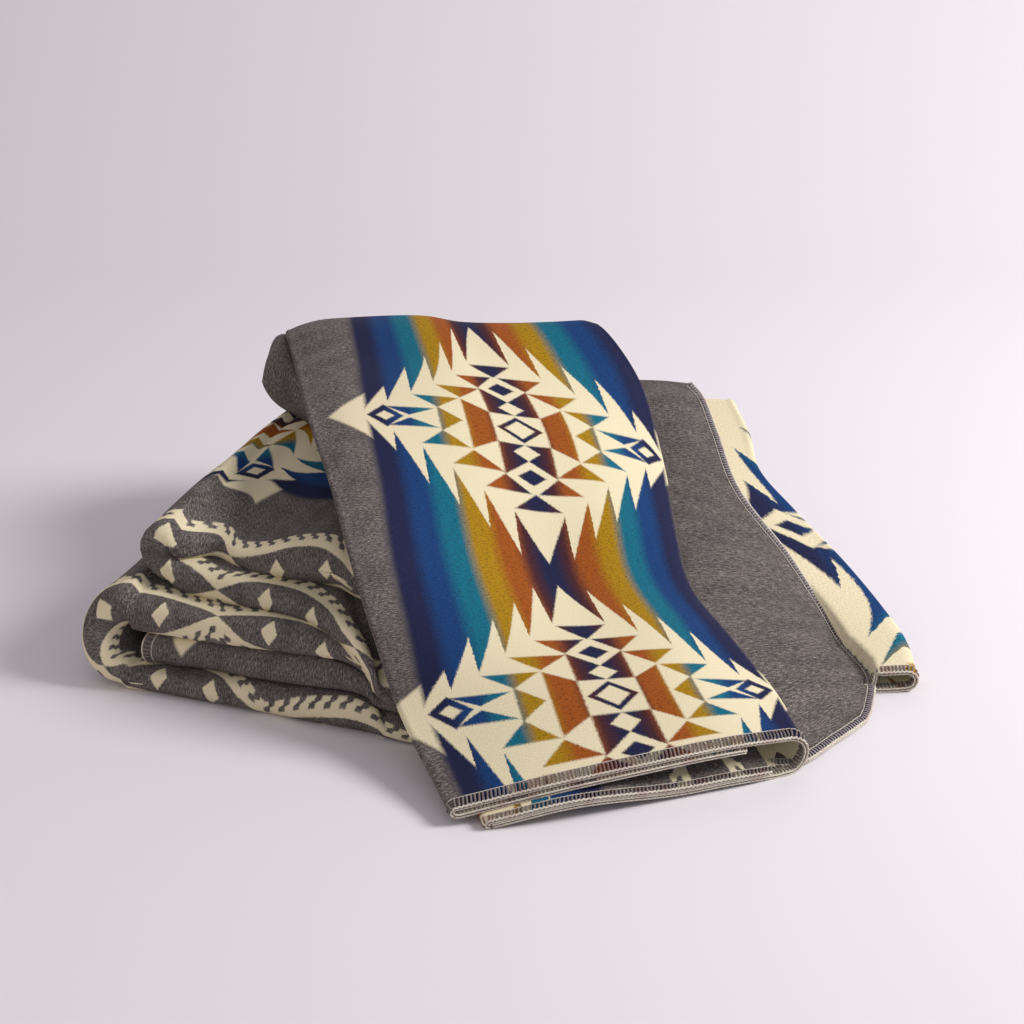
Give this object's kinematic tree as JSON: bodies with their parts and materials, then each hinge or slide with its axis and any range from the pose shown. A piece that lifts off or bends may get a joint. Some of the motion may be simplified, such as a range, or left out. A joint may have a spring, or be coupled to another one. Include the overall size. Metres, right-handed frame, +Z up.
{
  "type": "folded camp blanket",
  "caption": "Soft woven blanket folded into a zigzag stack, with its last length run over the top and fanned out on the floor.",
  "frame": {"origin": "on the floor, under the middle of the heap's plan", "axes": "+Z up, -Y towards the end of the runner that reaches the floor in front, +X towards the fanned out layers on the right"},
  "size_m": [0.7471, 0.6414, 0.238],
  "materials": {
    "cloth": "brushed jacquard double cloth",
    "edging": "overlock thread"
  },
  "bodies": {
    "root": {"bottom_leg": "cloth", "fourth_leg": "cloth", "lower_turn": "cloth", "rear_drape": "cloth", "rear_leg": "cloth", "reverse_fold": "cloth", "reverse_fold_edging": "edging", "ridge_fold": "cloth", "runner_lower": "cloth", "runner_lower_edging": "edging", "runner_top": "cloth", "runner_top_edging": "edging", "second_leg": "cloth", "side_panel": "cloth", "side_panel_edging": "edging", "third_leg": "cloth", "tucked_end": "cloth", "tucked_end_edging": "edging", "upper_turn": "cloth"}
  },
  "joints": []
}
